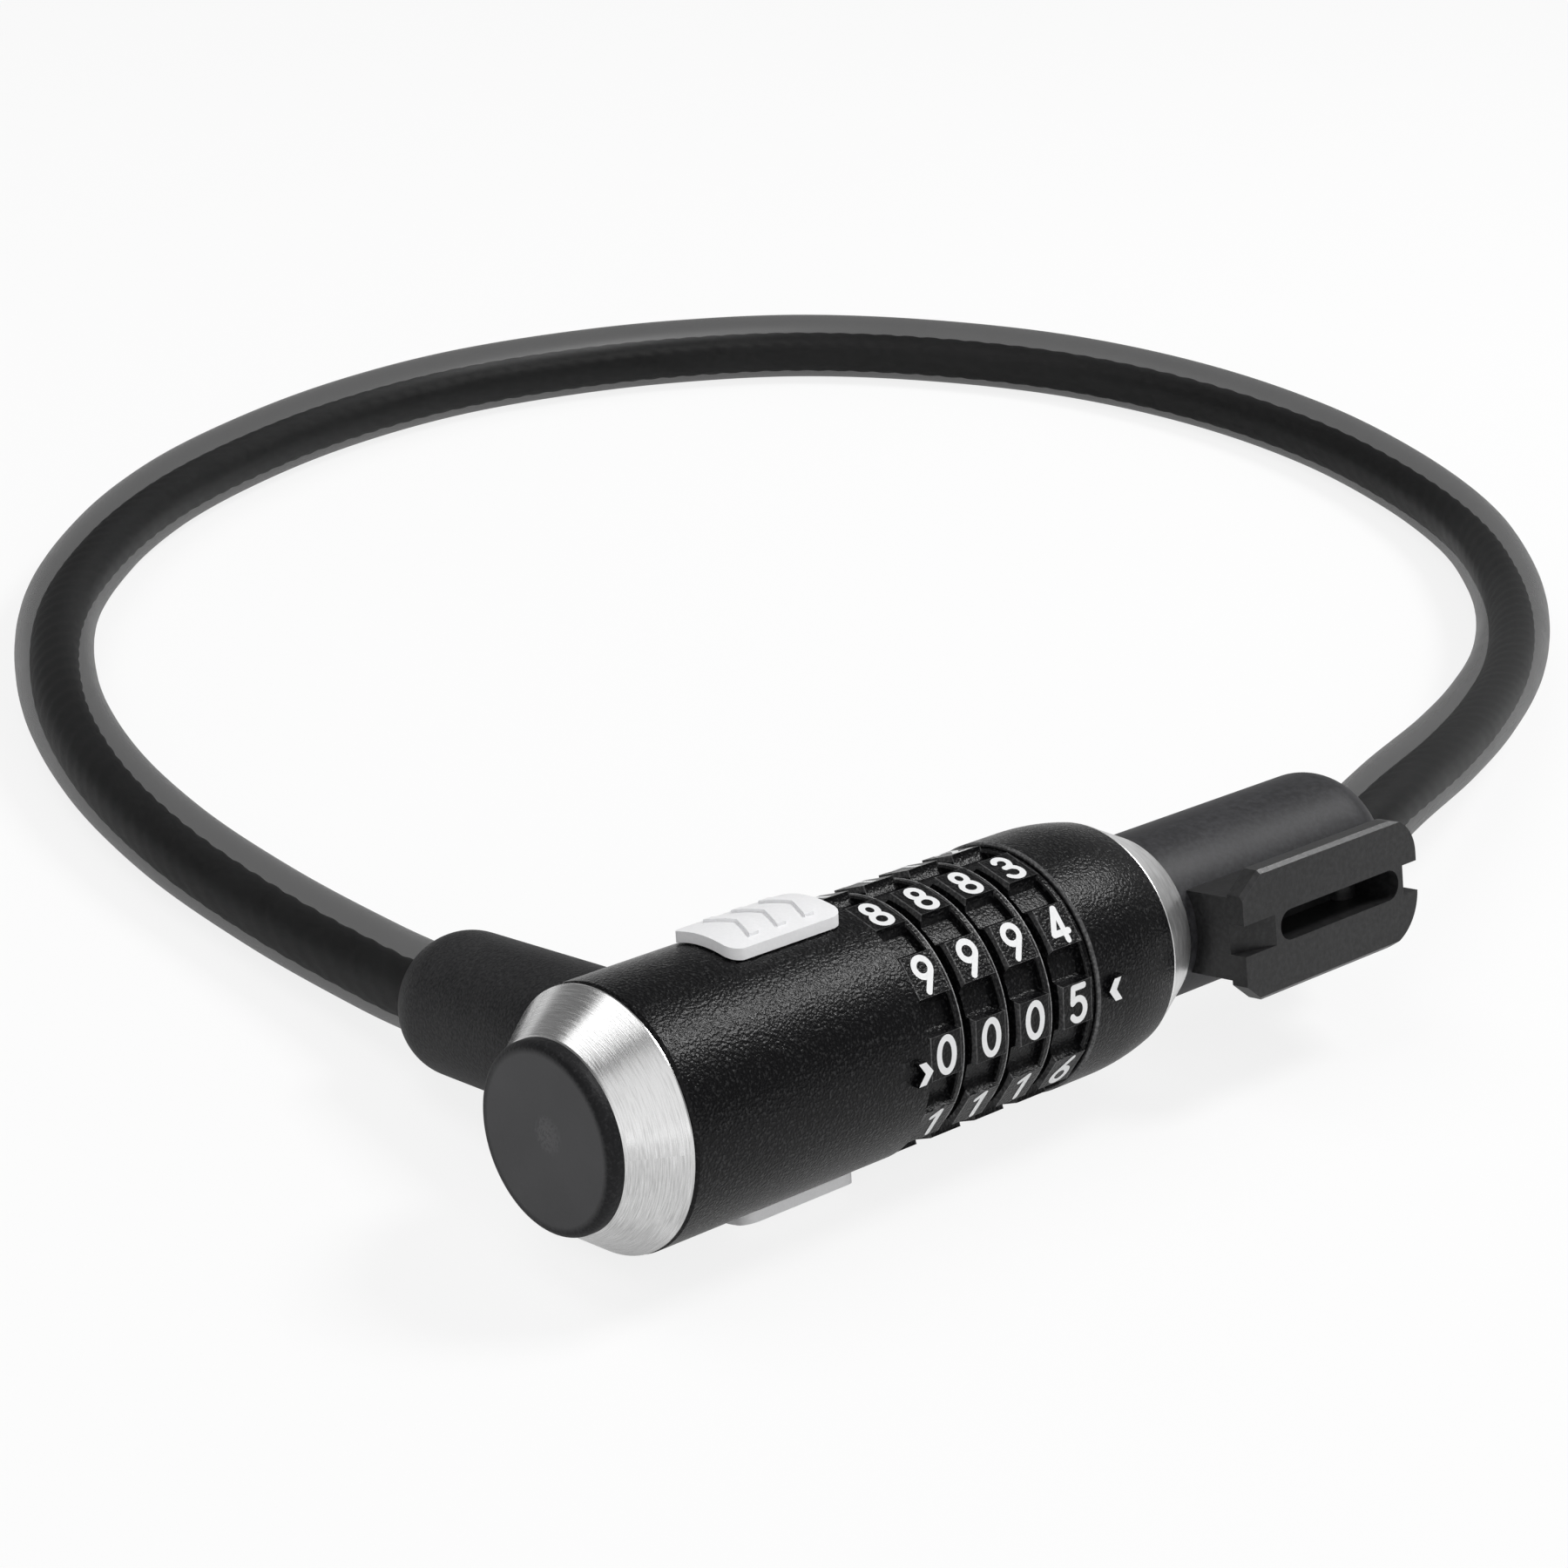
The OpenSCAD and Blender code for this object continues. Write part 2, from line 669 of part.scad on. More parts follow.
// neck on the sleeve with two rails, a groove between them and a latch slot
module bracket_shoe() {
    bevel = 0.5;
    stadium = groove_h / 2;
    slot_at = slot_x - shoe_x;
    ramp_land = 1;    // flat left between each ramp and the latch slot
    color("#1f2023") laid() rotate([-shoe_turn, 0, 0]) translate([shoe_x, 0, 0]) difference() {
        union() {
            block([0, rail_y, -neck_h / 2], [shoe_len, 0, neck_h / 2]);
            translate([0, rail_y, 0]) rotate([90, 0, 0]) linear_extrude(rail_t) rail_outline();
        }
        rod_x(-1, shoe_len + 1, sleeve_r + 0.05);
        // lead-in ramps for the latch, from both ends up to the rails' front
        translate([0, 0, -stadium]) linear_extrude(groove_h) {
            polygon([
                [-1, rail_y], [0, rail_y], [slot_at - ramp_land, -shoe_reach],
                [slot_at - ramp_land, -shoe_reach - 1], [-1, -shoe_reach - 1]
            ]);
            polygon([
                [shoe_len + 1, rail_y], [shoe_len, rail_y],
                [slot_at + slot_len + ramp_land, -shoe_reach],
                [slot_at + slot_len + ramp_land, -shoe_reach - 1],
                [shoe_len + 1, -shoe_reach - 1]
            ]);
        }
        // latch slot with round ends
        translate([slot_at, rail_y + slot_depth, 0]) rotate([90, 0, 0])
            linear_extrude(slot_depth + rail_t + 1) {
                translate([stadium, -stadium]) square([slot_len - groove_h, groove_h]);
                for (x = [stadium, slot_len - stadium]) translate([x, 0]) circle(stadium);
            }
        // bevels along the rails' front edges and the upper cut corner
        for (j = [0, 1]) mirror([0, 0, j]) translate([0, -shoe_reach, rail_h / 2])
            edge_bevel(-1, shoe_len + 1, bevel);
        translate([0, -shoe_reach, rail_h / 2 - rail_cut_z[0]])
            rotate([0, -atan2(rail_cut_z[0], rail_cut_x[0]), 0]) edge_bevel(-4, 8, bevel);
    }
    // latch nub on the slot's floor
    color("#1f2023") laid() rotate([-shoe_turn, 0, 0]) translate([shoe_x, 0, 0]) intersection() {
        translate([slot_at + slot_len * 0.85, rail_y + slot_depth + 0.2, -stadium])
            cylinder(h = groove_h, r = 2.2);
        block([0, rail_y + 1.2, -stadium], [shoe_len, rail_y + slot_depth + 0.2, stadium]);
    }
}

// ---- free end of the cable ----

// moulded boot that seats on the body and covers the crimped barrel
module boot() {
    round_at = boot_reach + 1.6 - boot_round;
    color("#2b2c2f") laid() difference() {
        translate([boot_x, 0, 0]) rotate([-90, 0, 0]) rotate_extrude() difference() {
            polygon([
                [cable_d / 2 + 0.15, 0], [boot_r, 0], [boot_r, housing_r],
                [boot_mouth_r, round_at], [boot_mouth_r, boot_reach],
                [cable_d / 2 + 0.15, boot_reach]
            ]);
            square([barrel_r + 0.15, barrel_end + 0.1]);
            translate([boot_mouth_r, round_at + boot_round]) corner_off(boot_round);
        }
        rod_x(boot_x - boot_r - 1, boot_x + boot_r + 1, housing_r + 0.12);
    }
}

// steel barrel crimped on the rope, with the grooved pin that the bolt holds
module locking_pin() {
    crimp_depth = 0.35;
    color("#c4c5c7") laid() difference() {
        union() {
            rod_y(barrel_at, barrel_end, barrel_r);
            rod_y(pin_tip + 1, barrel_at + 1, pin_r);
            translate([boot_x, pin_tip, 0]) rotate([-90, 0, 0])
                cylinder(h = 1, r1 = pin_r - 1, r2 = pin_r);
        }
        translate([boot_x, -groove_w / 2, 0]) rotate([-90, 0, 0]) difference() {
            cylinder(h = groove_w, r = pin_r + 1);
            translate([0, 0, -1]) cylinder(h = groove_w + 2, r = pin_neck_r);
        }
        for (y = [housing_r + 2 : 4 : barrel_end - 4])
            translate([boot_x, y, 0]) rotate([-90, 0, 0]) difference() {
                cylinder(h = 2, r = barrel_r + 1);
                translate([0, 0, -1]) cylinder(h = 4, r = barrel_r - crimp_depth);
            }
        rod_y(core_seat, barrel_end + 1, core_d / 2 + 0.05);
    }
}

// ---- cable ----

// vinyl jacket from inside the boot to inside the sleeve
module cable_jacket() { color("#3a3b3e") swept_tube(jacket_route, cable_d / 2, core_d / 2 + 0.1); }

// steel wire rope from the pin's barrel to the ferrule
module cable_core() { color("#8d9093") swept_rod(core_route, core_d / 2); }

end_plug();
front_cone();
front_housing();
socket_block();
slider_top();
slider_bottom();
slider_yoke();
bolt();
bolt_clip();
bolt_spring();
core_tube();
core_nut();
detent_spring();
dial_1();
dial_2();
dial_3();
dial_4();
tumbler_1();
tumbler_2();
tumbler_3();
tumbler_4();
rear_housing();
anchor_block();
rear_ring();
cable_ferrule();
sleeve();
bracket_shoe();
boot();
locking_pin();
cable_jacket();
cable_core();
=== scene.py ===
from math import ceil, cos, hypot, pi, radians, sin, sqrt

import bpy
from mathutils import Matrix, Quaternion, Vector


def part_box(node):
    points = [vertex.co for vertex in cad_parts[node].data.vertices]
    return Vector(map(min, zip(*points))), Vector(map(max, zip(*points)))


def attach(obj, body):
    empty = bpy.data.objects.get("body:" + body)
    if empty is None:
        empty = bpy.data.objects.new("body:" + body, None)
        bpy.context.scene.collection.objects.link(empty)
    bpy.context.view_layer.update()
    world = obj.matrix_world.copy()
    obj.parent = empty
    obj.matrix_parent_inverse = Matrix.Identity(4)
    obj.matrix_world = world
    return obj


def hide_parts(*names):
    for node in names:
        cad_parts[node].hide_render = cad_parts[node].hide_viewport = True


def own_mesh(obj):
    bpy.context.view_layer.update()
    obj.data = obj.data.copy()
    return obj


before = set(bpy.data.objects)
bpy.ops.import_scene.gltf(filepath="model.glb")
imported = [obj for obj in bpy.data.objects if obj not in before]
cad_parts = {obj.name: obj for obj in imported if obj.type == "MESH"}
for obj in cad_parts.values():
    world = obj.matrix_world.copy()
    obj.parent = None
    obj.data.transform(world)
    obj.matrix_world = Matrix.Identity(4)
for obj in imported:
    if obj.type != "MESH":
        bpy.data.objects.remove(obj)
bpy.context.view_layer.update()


# ---- the view ----
# A long lens looks down on the lock from beyond its end plug, a quarter of a metre over the
# table, and leans a little to one side.

eye = Vector((-0.2640, -0.3005, 0.2273))
aim = Vector((0.0938, 0.0592, 0.0))
lean = 0.081

scene = bpy.context.scene
camera = bpy.data.objects.new("view", bpy.data.cameras.new("view"))
camera.data.lens = 89.16
camera.data.sensor_width = 36
camera.data.clip_start = 0.01
camera.data.clip_end = 100
camera.location = eye
camera.rotation_mode = "QUATERNION"
camera.rotation_quaternion = (
    (aim - eye).to_track_quat("-Z", "Y") @ Quaternion((0, 0, 1), lean)
)
scene.collection.objects.link(camera)
scene.camera = camera


# ---- the cable's vinyl jacket ----
# Extruded smoke-grey vinyl, 12.4 mm thick and see-through, drawn over the wire rope. It comes
# out of the boot, lies round on the table in one loop and goes into the sleeve at the rear.

mm = 0.001
body_roll = radians(10.5)
floor_z = -19.05 * mm
cable_r = 6.2 * mm
boot_x = 24.5 * mm
boot_mouth = 51 * mm
sleeve_mouth = 146.1 * mm
inside = 8 * mm
route_step = 1.5 * mm
jacket_sides = 40

# x, y and the lift of the cable's underside off the table, in millimetres
LAY = [
    [25, 64, 1.7], [25.5, 89, 0.2], [27, 115, 0], [32.5, 141.5, 0], [43.5, 168.5, 0],
    [61.5, 195.5, 0], [84, 216.5, 0], [107, 231.5, 0], [131.5, 242, 0], [158, 249.5, 0],
    [186, 253, 0], [212.5, 251.5, 0], [239, 246, 0], [265, 235.5, 0], [287, 218.5, 0],
    [304, 197, 0], [313.5, 171, 0], [315, 143, 0], [309, 116, 0], [297.5, 92, 0.4],
    [281, 72, 1.4], [264, 56.5, 2.4], [242.5, 41.5, 4], [218.5, 28.5, 6.5],
    [194.5, 17.5, 9.4], [171, 8.5, 11.9],
]


def on_boot_axis(reach):
    """The point on the boot's axis at this distance from the lock's own."""
    return Vector((boot_x, reach * cos(body_roll), -reach * sin(body_roll)))


def smooth_through(stations, step):
    """Points about a step apart on a smooth curve through the stations."""
    ends = [2 * stations[0] - stations[1], *stations, 2 * stations[-1] - stations[-2]]
    points = []
    for before, here, there, after in zip(ends, ends[1:], ends[2:], ends[3:]):
        span = (there - here).length
        leave = (there - before) * span / (span + (here - before).length)
        arrive = (after - here) * span / (span + (after - there).length)
        count = max(1, ceil(span / step))
        for i in range(count):
            t = i / count
            points.append(
                here * (2 * t**3 - 3 * t**2 + 1) + there * (3 * t**2 - 2 * t**3)
                + leave * (t**3 - 2 * t**2 + t) + arrive * (t**3 - t**2)
            )
    return [*points, stations[-1]]


def mesh_piece(name, points, faces, smooth=False):
    """A new piece from points and faces, not yet riding on anything."""
    mesh = bpy.data.meshes.new(name)
    mesh.from_pydata([tuple(p) for p in points], [], faces)
    mesh.polygons.foreach_set("use_smooth", [smooth] * len(mesh.polygons))
    mesh.update()
    piece = bpy.data.objects.new(name, mesh)
    scene.collection.objects.link(piece)
    return piece


def swept(name, path, section):
    """A closed tube along path; section(i) gives the ring's [across, up] points at point i."""
    points, faces = [], []
    for i, at in enumerate(path):
        ahead = (path[min(i + 1, len(path) - 1)] - path[max(i - 1, 0)]).normalized()
        across = Vector((0, 0, 1)).cross(ahead).normalized()
        up = ahead.cross(across)
        ring = section(i)
        points += [at + across * a + up * b for a, b in ring]
    sides = len(ring)
    for i in range(len(path) - 1):
        for k in range(sides):
            a, b = i * sides + k, i * sides + (k + 1) % sides
            faces.append((a, b, b + sides, a + sides))
    last = (len(path) - 1) * sides
    faces.append(tuple(range(sides))[::-1])
    faces.append(tuple(range(last, last + sides)))
    return mesh_piece(name, points, faces, smooth=True)


class Value:
    """A socket that Python's operators work on: each of them adds its Math node."""

    def __init__(self, nodes, socket):
        self.nodes, self.socket = nodes, socket

    def math(self, operation, *others):
        return self.nodes.add("Math", dict(enumerate((self, *others))), operation=operation)

    def from_number(self, operation, number):
        return self.nodes.add("Math", {0: number, 1: self}, operation=operation)

    def clipped(self):
        return self.math("MINIMUM", 1.0).math("MAXIMUM", 0.0)

    def __add__(self, other): return self.math("ADD", other)
    def __sub__(self, other): return self.math("SUBTRACT", other)
    def __mul__(self, other): return self.math("MULTIPLY", other)
    def __truediv__(self, other): return self.math("DIVIDE", other)
    def __gt__(self, other): return self.math("GREATER_THAN", other)
    def __radd__(self, other): return self.math("ADD", other)
    def __rsub__(self, other): return self.from_number("SUBTRACT", other)
    def __rmul__(self, other): return self.math("MULTIPLY", other)
    def __rtruediv__(self, other): return self.from_number("DIVIDE", other)
    def __lt__(self, other): return self.from_number("GREATER_THAN", other)


class Nodes:
    """A node tree in the making. add() is the one way to a node, and gives its output."""

    def __init__(self, tree):
        self.tree = tree
        tree.nodes.clear()

    def add(self, kind, sockets, output=0, stops=(), **settings):
        """A node with its settings, its ramp's stops and its sockets' values or links.

        An end node has no output, and is given back itself.
        """
        made = self.tree.nodes.new("ShaderNode" + kind)
        for key, value in settings.items():
            setattr(made, key, value)
        if stops:
            ramp = made.color_ramp.elements
            while len(ramp) < len(stops):
                ramp.new(0.5)
            for element, (place, shade) in zip(ramp, stops):
                element.position = place
                element.color = (shade, shade, shade, 1)
        for key, value in sockets.items():
            if isinstance(value, Value):
                self.tree.links.new(value.socket, made.inputs[key])
            else:
                made.inputs[key].default_value = value
        return Value(self, made.outputs[output]) if made.outputs else made


class Finish(Nodes):
    """A material in the making, on one Principled shader."""

    def __init__(self, name, **constants):
        self.material = bpy.data.materials.new(name)
        self.material.use_nodes = True
        super().__init__(self.material.node_tree)
        sockets = {key.replace("_", " "): value for key, value in constants.items()}
        self.shaded = self.add("BsdfPrincipled", sockets)
        self.shown = self.add("OutputMaterial", {"Surface": self.shaded})

    def place(self):
        """The point on the piece, in its own frame and in metres."""
        return self.add("TexCoord", {}, output="Object")

    def noise(self, where, size, detail=2.0, roughness=0.5):
        """Soft blotches from 0 to 1, about size metres across."""
        return self.add(
            "TexNoise",
            {"Vector": where, "Scale": 1 / size, "Detail": detail, "Roughness": roughness},
        )

    def blend(self, share, low, high):
        """A colour between two, by a share from 0 to 1."""
        return self.add(
            "Mix", {0: share, 6: (*low, 1), 7: (*high, 1)}, output=2, data_type="RGBA"
        )

    def feed(self, socket, value):
        """Lead a value into a socket of the shader."""
        self.tree.links.new(value.socket, self.shaded.socket.node.inputs[socket])

    def colour(self, value):
        self.feed("Base Color", value)

    def roughness(self, value):
        self.feed("Roughness", value)

    def bump(self, height, strength, distance):
        sockets = {"Height": height, "Strength": strength, "Distance": distance}
        self.feed("Normal", self.add("Bump", sockets))


def wear(piece, finish):
    """The piece shows this finish and no other."""
    piece.data.materials.clear()
    piece.data.materials.append(finish.material)


vinyl = Finish("smoke_vinyl", Alpha=0.67, Specular_IOR_Level=0.25)
cloud = vinyl.noise(vinyl.place(), 9 * mm, 3)
vinyl.colour(vinyl.blend(cloud, (0.003, 0.003, 0.0035), (0.01, 0.0102, 0.011)))
vinyl.roughness(cloud * 0.14 + 0.36)
vinyl.bump(vinyl.noise(vinyl.place(), 1.6 * mm, 2), 0.05, 0.2 * mm)

stations = [
    on_boot_axis(boot_mouth - inside),
    on_boot_axis(boot_mouth),
    *[Vector((x * mm, y * mm, floor_z + cable_r + lift * mm)) for x, y, lift in LAY],
    Vector((sleeve_mouth, 0, 0)),
    Vector((sleeve_mouth - inside, 0, 0)),
]
route = smooth_through(stations, route_step)
route_length = sum((b - a).length for a, b in zip(route, route[1:]))
turns = [2 * pi * k / jacket_sides for k in range(jacket_sides)]
round_section = [(cable_r * cos(turn), cable_r * sin(turn)) for turn in turns]
jacket = swept("cable_vinyl_jacket", route, lambda i: round_section)
wear(jacket, vinyl)
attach(jacket, "lock")
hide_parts("cable_jacket")


# ---- the cable's wire rope ----
# Six steel strands laid round each other, 6 mm over all. The round vinyl magnifies them to a
# dark band with soft sides, and they lie a little low in it.

rope_r = 3.0 * mm
magnified = 1.3
rope_drop = 1.3 * mm
strands = 6
lay_length = 27 * mm
strand_relief = 0.3
rope_sides = 48


def rope_section(i):
    """The outline of six touching strands, turned with the distance along the rope."""
    turn = 2 * pi * i * route_length / (len(route) - 1) / lay_length
    strand_r, strand_at = rope_r / 3, rope_r * 2 / 3
    ring = []
    for k in range(rope_sides):
        angle = 2 * pi * k / rope_sides
        off = (angle - turn + pi / strands) % (2 * pi / strands) - pi / strands
        chord = max(strand_r**2 - (strand_at * sin(off)) ** 2, 0)
        over_strands = strand_at * cos(off) + sqrt(chord)
        r = over_strands * strand_relief + rope_r * (1 - strand_relief)
        ring.append((r * magnified * cos(angle), r * magnified * sin(angle) - rope_drop))
    return ring


rope_steel = Finish("rope_steel", Metallic=0.6)
grime = rope_steel.noise(rope_steel.place(), 1.2 * mm, 3)
rope_steel.colour(rope_steel.blend(grime, (0.02, 0.02, 0.019), (0.08, 0.08, 0.077)))
rope_steel.roughness(grime * 0.25 + 0.35)
rope_steel.bump(rope_steel.noise(rope_steel.place(), 0.5 * mm, 1), 0.3, 0.1 * mm)

rope = swept("cable_wire_rope", route, rope_section)
wear(rope, rope_steel)
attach(rope, "lock")
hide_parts("cable_core")


# ---- the boot ----
# A thick rubber boot moulded over the crimped end of the cable. Its skin has the fine, dull
# grain of a spark-eroded mould.

cloud_size = 14 * mm
grain_depth = 0.25 * mm
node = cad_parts


def grained(name, low, high, grain, rough, relief, **constants):
    """A moulded or coated finish: a fine grain, and soft clouds of tone and shine."""
    noise_average = 0.11
    made = Finish(name, **constants)
    where = made.place()
    fine = made.noise(where, grain, 2, 0.6)
    soft = made.noise(where, cloud_size, 3)
    made.colour(made.blend((fine - 0.35) * 1.4 + (soft - 0.5) * 0.5, low, high))
    made.roughness(soft * 0.12 + fine * 0.1 + (rough - noise_average))
    made.bump(fine, relief, grain_depth)
    return made


boot_rubber = grained(
    "boot_rubber", (0.004, 0.004, 0.005), (0.05, 0.05, 0.051), 0.4 * mm, 0.55, 0.5,
    Specular_IOR_Level=0.25,
)
wear(node["boot"], boot_rubber)


# ---- the locking pin and its barrel ----
# Hardened and plated steel: the barrel is crimped on the rope in rings, and the pin's groove
# takes the bolt.

pin_steel = grained(
    "pin_steel", (0.58, 0.58, 0.59), (0.7, 0.7, 0.7), 0.3 * mm, 0.3, 0.08, Metallic=1.0
)
wear(node["locking_pin"], pin_steel)


# ---- the end plug ----
# A black moulded plug pressed into the steel cone. Its face is smooth with a faint mark where
# the mould's gate was cut off, and its rounded rim has a fine grain and painted shade.

gate_spot = (0.0, -0.6 * mm, 1.1 * mm)
gate_r = 2.6 * mm
face_r = 10.6 * mm
rim_width = 0.9 * mm

plug_plastic = Finish("plug_plastic", Specular_IOR_Level=0.2)
where = plug_plastic.place()
fine = plug_plastic.noise(where, 0.45 * mm, 2, 0.6)
soft = plug_plastic.noise(where, 11 * mm, 2)
crumbs = plug_plastic.noise(where, 0.5 * mm, 3, 0.7)
from_gate = plug_plastic.add("VectorMath", {0: where, 1: gate_spot}, operation="SUBTRACT")
gate_off = plug_plastic.add("VectorMath", {0: from_gate}, output="Value", operation="LENGTH")
gate = (1 - gate_off / gate_r).math("MAXIMUM", 0.0)
blotch = gate * ((crumbs - 0.42) * 5).clipped()
across = plug_plastic.add("VectorMath", {0: where, 1: (0.0, 1.0, 1.0)}, operation="MULTIPLY")
off_axis = plug_plastic.add("VectorMath", {0: across}, output="Value", operation="LENGTH")
# The rim band is painted darker as shade, and has a stronger grain.
rim = ((off_axis - face_r) / rim_width).clipped()
tone = (soft * 0.3 + 0.62 + blotch * 1.3) * (1 - rim) + rim * (fine - 0.5) * 0.9
plug_plastic.colour(plug_plastic.blend(tone, (0.006, 0.006, 0.007), (0.08, 0.08, 0.083)))
plug_plastic.roughness(0.5 + fine * 0.12 - blotch * 0.2)
plug_plastic.bump(fine * (rim * 2 + 0.2) + blotch * 1.2, 0.35, 0.12 * mm)
wear(node["end_plug"], plug_plastic)


# ---- the steel cone and the steel ring ----
# Both are turned from stainless bar and brushed as they spin, so fine scratches run round the
# axis, and the brushed tone changes slowly from place to place round them.


def parts(made, vector):
    """A vector's three numbers."""
    return (made.add("SeparateXYZ", {0: vector}, output=axis) for axis in "XYZ")


def brushed(name, low, high, streak, rough):
    """Steel brushed round X: streaks that are short along X and long round it."""
    slope = 0.7
    streaks_in_radian = 4.0
    patches_across, patches_along = 70, 12
    made = Finish(name, Metallic=1.0)
    flat = made.add(
        "VectorRotate", {"Vector": made.place(), "Angle": body_roll}, rotation_type="X_AXIS"
    )
    x, y, z = parts(made, flat)
    reach = (y * y + z * z).math("SQRT")
    streaks = made.add("CombineXYZ", {
        0: (x + reach * slope) / streak, 1: z.math("ARCTAN2", y) * streaks_in_radian, 2: 0.0,
    })
    scratch = made.noise(streaks, 1.0, 4.0, 0.65)
    patches = made.add("CombineXYZ", {
        0: y * patches_across, 1: z * patches_across, 2: x * patches_along,
    })
    slow = made.noise(patches, 1.0, 1.0, 0.4)
    made.colour(made.blend((scratch - 0.5) * 1.9 + (slow - 0.5) * 1.8 + 0.6, low, high))
    made.roughness(scratch * 0.22 + rough)
    made.bump(scratch, 0.3, 0.05 * mm)
    return made


cone_steel = brushed("cone_steel", (0.4, 0.4, 0.4), (0.82, 0.82, 0.82), 0.2 * mm, 0.14)
wear(node["front_cone"], cone_steel)
ring_steel = brushed("ring_steel", (0.62, 0.62, 0.62), (0.95, 0.95, 0.95), 0.35 * mm, 0.3)
wear(node["rear_ring"], ring_steel)


# ---- the housings and dials ----
# Die-cast shells and number rings under one black powder coat. Its fine grain glints wherever
# the light grazes it. Its colour carries small painted glints and painted highlights along the
# dials' edges.

# stations along the lock and radii, in millimetres
first_dial_x, dial_pitch = 47.9, 7.9
cell_start = 47.8
pad_front, pad_back, flange_back = 0.15, 5.4, 6.29
last_dial_end, rear_shell_edge = 77.6, 78.05
flange_top_r, shell_top_r, pad_corner_r = 15.9, 16.5, 16.835

powder_coat = Finish("powder_coat", Specular_IOR_Level=0.155)
where = powder_coat.place()
fine = powder_coat.noise(where, 0.38 * mm, 1, 0.4)
soft = powder_coat.noise(where, 16 * mm, 2)
glint = ((fine - 0.58) * 9).clipped()
x, y, z = parts(powder_coat, where)
reach = (y * y + z * z).math("SQRT")
in_cell = ((x - cell_start * mm) / (dial_pitch * mm)).math("FRACT") * dial_pitch


def highlight_line(place, at, half):
    """1 along a thin line at one station, falling to 0 at its sides."""
    off = (place - at).math("ABSOLUTE") / half
    return (1.6 - off * 1.6).clipped()


# Painted highlights: thin bright lines on the flanges' and pads' edges, the pads' corners and
# the rear shell's front edge.
edge_highlights = highlight_line(in_cell, flange_back, 0.24)
edge_highlights = edge_highlights + highlight_line(in_cell, pad_back, 0.16) * 0.2 + highlight_line(in_cell, pad_front, 0.2) * 0.3
edge_highlights = edge_highlights + (reach > pad_corner_r * mm) * 0.35
among_dials = (x > first_dial_x * mm) * (1 - (x > last_dial_end * mm))
edge_highlights = edge_highlights * among_dials * (reach > flange_top_r * mm)
edge_highlights = edge_highlights + highlight_line(x / mm, rear_shell_edge, 0.26) * (reach > shell_top_r * mm) * 0.45
# The colour is a near-black coat with painted glint flecks and the painted edge highlights on
# the grain.
powder_coat.colour(powder_coat.blend(
    glint * 0.05 + edge_highlights * (fine * 1.2), (0.003, 0.003, 0.0035), (0.4, 0.4, 0.405)
))
powder_coat.roughness(soft * 0.06 + 0.27 - glint * 0.06)
powder_coat.bump(fine, 1.0, 0.11 * mm)
for name in ("front_housing", "rear_housing", "dial_1", "dial_2", "dial_3", "dial_4"):
    wear(node[name], powder_coat)


# ---- the dials' end flanges ----
# Each number ring ends in a thin flange, a little lower than its flats and cast in one with
# it. The coat carries a painted highlight along its edge.

# stations from the dial's front and radii, in millimetres
flange_outline = [(5.38, 15.2), (5.38, 16.3), (6.18, 16.3), (6.3, 16.18), (6.3, 15.2)]
around = 160


def on_body(x, y, z, turn=0.0):
    """A point in the lock's own frame, in millimetres, as the lock lies rolled."""
    angle = turn - body_roll
    return Vector((x, y * cos(angle) - z * sin(angle), y * sin(angle) + z * cos(angle))) * mm


for k in range(4):
    points = [
        on_body(first_dial_x + k * dial_pitch + station, -r, 0, 2 * pi * i / around)
        for i in range(around) for station, r in flange_outline
    ]
    corners = len(flange_outline)
    faces = [
        tuple((i + di) % around * corners + (j + dj) % corners
              for di, dj in ((0, 0), (0, 1), (1, 1), (1, 0)))
        for i in range(around) for j in range(corners)
    ]
    flange = mesh_piece(f"dial_{k + 1}_flange", points, faces)
    wear(flange, powder_coat)
    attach(flange, f"wheel_{k + 1}")


# ---- the numbers on the dials ----
# White paint pressed on each dial's ten flats: 0 to 9, one stroke thick with round ends. The
# lock lies with 0005 in line with its marks.

# lengths in millimetres
numbers_x = 50.65
flat_r = 16.602
stroke_half = 0.44
paint_lift, layer_lift = 0.03, 0.012
places = 10
number_at_mark = [0, 0, 0, 5]
cap_steps = 8


def arc(cx, cy, a, b, start, end, count=20):
    """Points on an ellipse about [cx, cy], from one angle to another in degrees."""
    turns = [radians(start + (end - start) * i / count) for i in range(count + 1)]
    return [(cx + a * cos(t), cy + b * sin(t)) for t in turns]


NUMERALS = {
    0: [arc(0, 0, 1.3, 2.2, 0, 360, 32)],
    1: [[(-0.75, 1.35), (0.35, 2.2)], [(0.4, 2.2), (0.4, -2.2)]],
    2: [[*arc(0, 1.0, 1.25, 1.2, 165, -20), (-1.2, -2.15)], [(-1.2, -2.2), (1.3, -2.2)]],
    3: [[*arc(-0.1, 1.17, 1.05, 1.03, 155, -90), (-0.5, 0.12)],
        [(-0.5, 0.1), *arc(-0.1, -1.05, 1.3, 1.15, 90, -155)]],
    4: [[(1.35, -1.05), (-1.25, -1.05)], [(-1.25, -1.0), (0.5, 2.2)],
        [(0.62, 2.2), (0.62, -2.2)]],
    5: [[(1.1, 2.2), (-0.85, 2.2)], [(-0.85, 2.15), (-1.0, 0.3)],
        [(-1.0, 0.25), *arc(-0.05, -0.78, 1.3, 1.42, 130, -145)]],
    6: [arc(0, -0.95, 1.25, 1.25, 0, 360, 28),
        [(0.7, 2.2), *arc(0, -0.95, 1.25, 1.25, 150, 180, 4)]],
    7: [[(-1.2, 2.2), (1.2, 2.2)], [(1.2, 2.15), (-0.35, -2.2)]],
    8: [arc(0, 1.15, 1.02, 1.05, 0, 360, 26), arc(0, -1.08, 1.27, 1.15, 0, 360, 28)],
    9: [arc(0, 0.95, 1.25, 1.25, 0, 360, 28),
        [(-0.7, -2.2), *arc(0, 0.95, 1.25, 1.25, -30, 0, 4)]],
}


